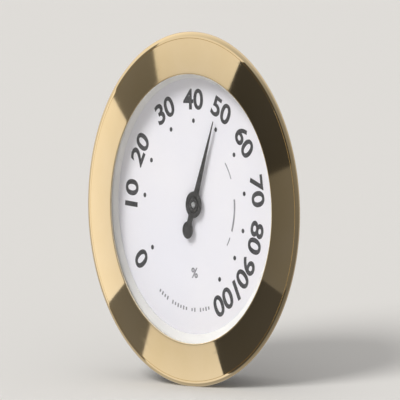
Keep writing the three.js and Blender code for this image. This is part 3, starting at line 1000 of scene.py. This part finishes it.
class HYGRO_OT_hand(bpy.types.Operator):
    """Finishes the hand, its hub, the arbor and the collet"""

    bl_idname = "hygro.hand"
    bl_label = "Hand"

    def execute(self, context):
        movement = context.scene.hygrometer.movement
        enamel = hand_enamel()
        finish("pointer", 0.05 * MM, enamel)
        finish("pointer_hub", 0.05 * MM, enamel)
        finish("arbor", 0.03 * MM, satin_steel(movement))
        finish("collet", movement.edge, turned_brass(movement))
        return {"FINISHED"}


# ---- The movement ----


class HYGRO_OT_movement(bpy.types.Operator):
    """Finishes the movement plate, the bush, the pillars, the bridge and its screws"""

    bl_idname = "hygro.movement"
    bl_label = "Movement"

    def execute(self, context):
        settings = context.scene.hygrometer.movement
        for node in ("front_bush", "pillar_left", "pillar_right"):
            finish(node, settings.edge, turned_brass(settings))
        for node in ("movement_plate", "rear_bridge"):
            finish(node, settings.edge, stamped_brass(settings))
        for node in ("bridge_screw_left", "bridge_screw_right"):
            finish(node, settings.edge, satin_steel(settings))
        return {"FINISHED"}


def coil_mesh(settings):
    """A flat strip wound outwards clockwise from the collet to the anchor's post."""
    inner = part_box("collet")[1].x + 0.25 * MM
    outer = -COIL_LOW.x + 0.1 * MM
    steps_per_turn = 96
    steps = settings.turns * steps_per_turn
    half = settings.strip_thickness / 2
    front, rear = COIL_LOW.y, COIL_HIGH.y
    tail = 10
    vertices = []
    faces = []
    for i in range(steps + tail + 1):
        radius = inner + (outer - inner) * min(i / steps, 1)
        degrees = 360 * i / steps_per_turn
        for offset, y in ((-half, front), (half, front), (half, rear), (-half, rear)):
            point = on_circle(radius + offset, degrees)
            vertices.append((point.x, y, point.y))
        if i:
            last, first = 4 * i - 4, 4 * i
            for k in range(4):
                after = (k + 1) % 4
                faces.append([last + k, last + after, first + after, first + k])
    end = len(vertices) - 4
    faces.append([0, 1, 2, 3])
    faces.append([end + 3, end + 2, end + 1, end])
    mesh = bpy.data.meshes.new("wound_coil")
    mesh.from_pydata(vertices, [], faces)
    return smooth(mesh)


class HYGRO_OT_adjuster(bpy.types.Operator):
    """Finishes the slotted adjuster, its washer, the anchor, the coil and its rivet"""

    bl_idname = "hygro.adjuster"
    bl_label = "Adjuster and Coil"

    def execute(self, context):
        settings = context.scene.hygrometer.movement
        finish("adjuster_screw", 0.08 * MM, turned_brass(settings))
        finish("adjuster_washer", 0.03 * MM, satin_steel(settings))
        finish("coil_anchor", settings.edge, stamped_brass(settings))
        finish("coil_rivet", settings.edge, satin_steel(settings))
        coil = bevelled(add_object("wound_coil", coil_mesh(settings)), 0.04 * MM)
        place(coil, "hygroscopic_coil", coil_strip(settings))
        return {"FINISHED"}


# ---- The case ----


def screw_places():
    """The centres of the back screws, as (x, z)."""
    places = []
    for i in (1, 2, 3):
        low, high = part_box(f"back_screw_{i}")
        places.append(((low.x + high.x) / 2, (low.z + high.z) / 2))
    return places


def bored(piece, tools):
    """Joins or cuts the piece with round tools: (operation, radius, front, rear, centre)."""
    for operation, radius, front, rear, centre in tools:
        tool = add_object("tool", plate_mesh("tool", circle(radius, 48, centre), [], front, rear))
        change = piece.modifiers.new("Tool", "BOOLEAN")
        change.operation = operation
        change.object = tool
        change.solver = "EXACT"
        graph = bpy.context.evaluated_depsgraph_get()
        mesh = bpy.data.meshes.new_from_object(piece.evaluated_get(graph))
        piece.modifiers.clear()
        piece.data = mesh
        bpy.data.objects.remove(tool)
    smooth(piece.data)
    return piece


def case_outline():
    """The case's section: front flange, wall with two grooves for the grip rings, rear rim and bore."""
    wall = CASE_RADIUS
    pocket = LENS_HIGH.x + POCKET_GAP
    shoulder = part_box("movement_plate")[1].y + STACK_GAP
    flange = CASE_HIGH.x
    flange_rear = BEZEL_HIGH.y - STACK_GAP
    corners = [
        (pocket, CASE_LOW.y, 0.1 * MM),
        (flange, CASE_LOW.y, 0.15 * MM),
        (flange, flange_rear, 0.15 * MM),
        (wall, flange_rear, 0.1 * MM),
    ]
    for node in ("grip_ring_front", "grip_ring_rear"):
        low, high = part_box(node)
        front, rear = low.y - 0.15 * MM, high.y + 0.15 * MM
        corners += [
            (wall, front, 0.1 * MM),
            (GROOVE_RADIUS, front, 0.12 * MM),
            (GROOVE_RADIUS, rear, 0.12 * MM),
            (wall, rear, 0.1 * MM),
        ]
    corners += [
        (wall, CASE_HIGH.y, 0.4 * MM),
        (CASE_BORE_RADIUS, CASE_HIGH.y, 0.15 * MM),
        (CASE_BORE_RADIUS, shoulder, 0),
        (pocket, shoulder, 0),
    ]
    return rounded(corners)


def back_cover(settings):
    """The cover: radial vents, a hole for the adjuster and counterbored screw holes."""
    centre_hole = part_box("adjuster_screw")[1].x + 0.3 * MM
    half = settings.vent_width / 2
    holes = [circle(centre_hole, 64)]
    for i in range(settings.vents):
        holes.append(slot_loop(VENT_INNER, VENT_OUTER, half, 360 * i / settings.vents))
    holes += [circle(SCREW_HOLE_RADIUS, 32, centre) for centre in screw_places()]
    mesh = plate_mesh("vented_cover", circle(COVER_HIGH.x, 192), holes, COVER_LOW.y, COVER_HIGH.y)
    cover = add_object("vented_cover", mesh)
    sink, beyond = COVER_HIGH.y - COUNTERBORE_DEPTH, COVER_HIGH.y + 1 * MM
    bored(cover, [("DIFFERENCE", COUNTERBORE_RADIUS, sink, beyond, c) for c in screw_places()])
    return bevelled(cover, 0.09 * MM)


def grip_ring_outline(node):
    """A round section with the mould's thin flash line inside and outside."""
    low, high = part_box(node)
    section = (high.y - low.y) / 2
    middle = Vector((high.x - section, (low.y + high.y) / 2))
    flash = 0.03 * MM
    steps = 32
    outline = []
    for i in range(steps):
        angle = 2 * math.pi * i / steps
        bulge = section - flash * (0 if i % (steps // 2) == 0 else 1)
        outline.append(middle + bulge * Vector((math.cos(angle), math.sin(angle))))
    return outline


class HYGRO_OT_case(bpy.types.Operator):
    """Makes the case with its screw bosses, the vented cover, its screws and the grip rings"""

    bl_idname = "hygro.case"
    bl_label = "Case"

    def execute(self, context):
        settings = context.scene.hygrometer.case
        movement = context.scene.hygrometer.movement
        shell = turned("moulded_case", case_outline(), columns=192)
        boss_rear = COVER_LOW.y - STACK_GAP
        hole_front, hole_rear = BOSS_FRONT + BOSS_FLOOR, boss_rear + 1 * MM
        tools = []
        for centre in screw_places():
            tools.append(("UNION", BOSS_RADIUS, BOSS_FRONT, boss_rear, centre))
            tools.append(("DIFFERENCE", BOSS_HOLE_RADIUS, hole_front, hole_rear, centre))
        place(weighted(bored(shell, tools)), "case_shell", case_plastic(settings))
        cover_plastic = case_plastic(settings, "Moulded Cover Plastic", wear_and_highlight=0)
        place(back_cover(settings), "back_cover", cover_plastic)
        for i in (1, 2, 3):
            node = f"back_screw_{i}"
            finish(node, 0.06 * MM, satin_steel(movement))
        for name, node in (("front_grip_ring", "grip_ring_front"), ("rear_grip_ring", "grip_ring_rear")):
            place(turned(name, grip_ring_outline(node)), node, grip_rubber(settings))
        return {"FINISHED"}


# ---- The studio ----

# For polished surfaces to mirror, the studio has plain white and grey panels round the direction that the
# bezel's face mirrors to the main camera. Each row gives where a panel ends, clockwise from the top, and its
# brightness.
PANELS = (
    (27.1, 0.78),
    (75.3, 0.045),
    (121.9, 0.15),
    (167.4, 0.06),
    (213.7, 0.80),
    (235.5, 0.15),
    (303.4, 0.95),
    (332.2, 0.16),
    (360.0, 0.78),
)


BACKDROP = (0.740, 0.7195, 0.688)  # as the lit floor looks at the horizon
FLOOR_HALF = 30
KEY_DIRECTION = (0.42, 0.70, -0.58)
KEY_SPREAD = 24  # degrees across, for soft shadows


def warm_grey(brightness):
    return (brightness, 0.93 * brightness, 0.87 * brightness, 1.0)


def sight_line(azimuth, elevation):
    """The direction from the gauge to a viewer who stands to the right of its axis and above it."""
    level = math.cos(elevation)
    return Vector((math.sin(azimuth) * level, -math.cos(azimuth) * level, math.sin(elevation)))


def studio_world(settings):
    """Even light from all round, a pale backdrop, and the panels for polished surfaces to mirror."""
    world = bpy.data.worlds.new("Studio")
    world.use_nodes = True
    tree = world.node_tree
    tree.nodes.clear()
    ahead = sight_line(-settings.azimuth, -settings.elevation)
    right = Vector((0, 0, 1)).cross(ahead).normalized()
    above = ahead.cross(right)
    direction = put(tree, "TexCoord").outputs["Generated"]

    def along(axis):
        return put(tree, "VectorMath", {0: direction, 1: axis}, operation="DOT_PRODUCT").outputs["Value"]

    across, up, forward = along(right), along(above), along(ahead)
    turn = math_node(tree, "DIVIDE", math_node(tree, "ARCTAN2", across, up), 2 * math.pi)
    turn = math_node(tree, "FRACT", math_node(tree, "ADD", turn, 1.0))
    squared = math_node(tree, "MULTIPLY", forward, forward)
    away = math_node(tree, "SQRT", math_node(tree, "SUBTRACT", 1.0, squared))

    ramp = put(tree, "ValToRGB", {"Fac": turn})
    ramp.color_ramp.interpolation = "CONSTANT"
    ramp.color_ramp.elements.remove(ramp.color_ramp.elements[1])
    ramp.color_ramp.elements[0].color = warm_grey(PANELS[0][1])
    for (start, _), (_, brightness) in zip(PANELS, PANELS[1:]):
        ramp.color_ramp.elements.new(start / 360).color = warm_grey(brightness)
    fade = put(tree, "MapRange", {0: away, 1: 0.34, 2: 0.50, 3: 0.86, 4: 1.06}).outputs[0]
    panels = put(tree, "VectorMath", {0: ramp.outputs[0], "Scale": fade}, operation="SCALE").outputs[0]

    # Outside the panels, the surround darkens to the right and downwards.
    side = put(tree, "MapRange", {0: across, 1: -0.5, 2: 0.7}).outputs[0]
    surround = mix_colour(tree, side, warm_grey(0.94), warm_grey(0.28))
    height = put(tree, "SeparateXYZ", {0: direction}).outputs["Z"]
    rise = put(tree, "MapRange", {0: height, 1: -0.3, 2: 0.9, 3: 0.55, 4: 1.1}).outputs[0]
    surround = put(tree, "VectorMath", {0: surround, "Scale": rise}, operation="SCALE").outputs[0]
    near = put(tree, "MapRange", {0: forward, 1: 0.55, 2: 0.62}).outputs[0]
    mirrored = mix_colour(tree, near, surround, panels)
    # The middle is a plain grey, which the flat crystal mirrors.
    middle = put(tree, "MapRange", {0: away, 1: 0.24, 2: 0.30, 3: 1.0, 4: 0.0}).outputs[0]
    middle = math_node(tree, "MULTIPLY", middle, near)
    mirrored = mix_colour(tree, middle, mirrored, warm_grey(0.28))

    rays = put(tree, "LightPath")
    even = put(tree, "Background", {"Color": (1.0, 0.99, 0.98, 1), "Strength": settings.fill})
    glossy = put(tree, "Background", {"Color": mirrored, "Strength": 1.0})
    backdrop = put(tree, "Background", {"Color": solid(BACKDROP), "Strength": 1.0})
    shown = even
    for kind, other in (("Is Glossy Ray", glossy), ("Is Camera Ray", backdrop)):
        shares = {0: rays.outputs[kind], 1: shown.outputs[0], 2: other.outputs[0]}
        shown = put(tree, "MixShader", shares)
    put(tree, "OutputWorld", {"Surface": shown.outputs[0]})
    return world


def leaning_camera(settings, aim):
    """The main camera. Its upright axis leans, so that the picture comes out narrower than it is tall."""
    back = sight_line(settings.azimuth, settings.elevation)
    camera = bpy.data.objects.new("camera", bpy.data.cameras.new("camera"))
    camera.data.lens = settings.lens
    camera.data.sensor_width = 36
    camera.data.clip_start = 0.05
    camera.data.clip_end = 20
    stand = bpy.data.objects.new("camera_stand", None)
    for item in (camera, stand):
        bpy.context.scene.collection.objects.link(item)
    facing = (-back).to_track_quat("-Z", "Y").to_matrix().to_4x4()
    upright = Matrix.Translation(aim + back * settings.distance) @ facing
    angle = math.acos(settings.squeeze)
    lean = Matrix.Identity(4)
    lean[1][1] = math.cos(angle)
    lean[2][1] = math.sin(angle)
    camera.parent = stand
    camera.matrix_parent_inverse = upright @ lean
    return camera


class HYGRO_OT_stage(bpy.types.Operator):
    """Lays the floor and sets the lights, the surround and the camera"""

    bl_idname = "hygro.stage"
    bl_label = "Studio"

    def execute(self, context):
        settings = context.scene.hygrometer.stage
        scene = context.scene
        low, high = CAD_BOUNDS
        mesh = bpy.data.meshes.new("floor")
        signs = ((-1, -1), (1, -1), (1, 1), (-1, 1))
        corners = [(x * FLOOR_HALF, y * FLOOR_HALF, low.z) for x, y in signs]
        mesh.from_pydata(corners, [], [(0, 1, 2, 3)])
        floor = add_object("floor", mesh)
        mesh.materials.append(pale_floor(settings))
        floor.visible_glossy = False

        key = bpy.data.objects.new("key", bpy.data.lights.new("key", "SUN"))
        key.data.energy = settings.key
        key.data.angle = math.radians(KEY_SPREAD)
        key.data.color = (1.0, 0.985, 0.96)
        scene.collection.objects.link(key)
        key.rotation_euler = Vector(KEY_DIRECTION).to_track_quat("-Z", "Y").to_euler()
        key.visible_glossy = False

        scene.world = studio_world(settings)
        scene.view_settings.view_transform = "Standard"
        scene.camera = leaning_camera(settings, (low + high) / 2)
        return {"FINISHED"}


# ---- Panel and start ----


class HYGRO_PT_sidebar(bpy.types.Panel):
    """Lists what can be built"""

    bl_idname = "HYGRO_PT_sidebar"
    bl_label = "Dial Hygrometer"
    bl_space_type = "VIEW_3D"
    bl_region_type = "UI"
    bl_category = "Hygrometer"

    def draw(self, context):
        for operator in OPERATORS:
            self.layout.operator(operator.bl_idname)


OPERATORS = (
    HYGRO_OT_stage,
    HYGRO_OT_bezel,
    HYGRO_OT_crystal,
    HYGRO_OT_dial,
    HYGRO_OT_hand,
    HYGRO_OT_movement,
    HYGRO_OT_adjuster,
    HYGRO_OT_case,
)
CLASSES = (
    HYGRO_PG_bezel,
    HYGRO_PG_dial,
    HYGRO_PG_movement,
    HYGRO_PG_case,
    HYGRO_PG_stage,
    HYGRO_PG_settings,
    *OPERATORS,
    HYGRO_PT_sidebar,
)


def register():
    for cls in CLASSES:
        bpy.utils.register_class(cls)
    bpy.types.Scene.hygrometer = PointerProperty(type=HYGRO_PG_settings)


def unregister():
    del bpy.types.Scene.hygrometer
    for cls in reversed(CLASSES):
        bpy.utils.unregister_class(cls)


def main():
    register()
    bpy.ops.hygro.stage()
    bpy.ops.hygro.bezel()
    bpy.ops.hygro.crystal()
    bpy.ops.hygro.dial()
    bpy.ops.hygro.hand()
    bpy.ops.hygro.movement()
    bpy.ops.hygro.adjuster()
    bpy.ops.hygro.case()


if __name__ == "__main__":
    main()
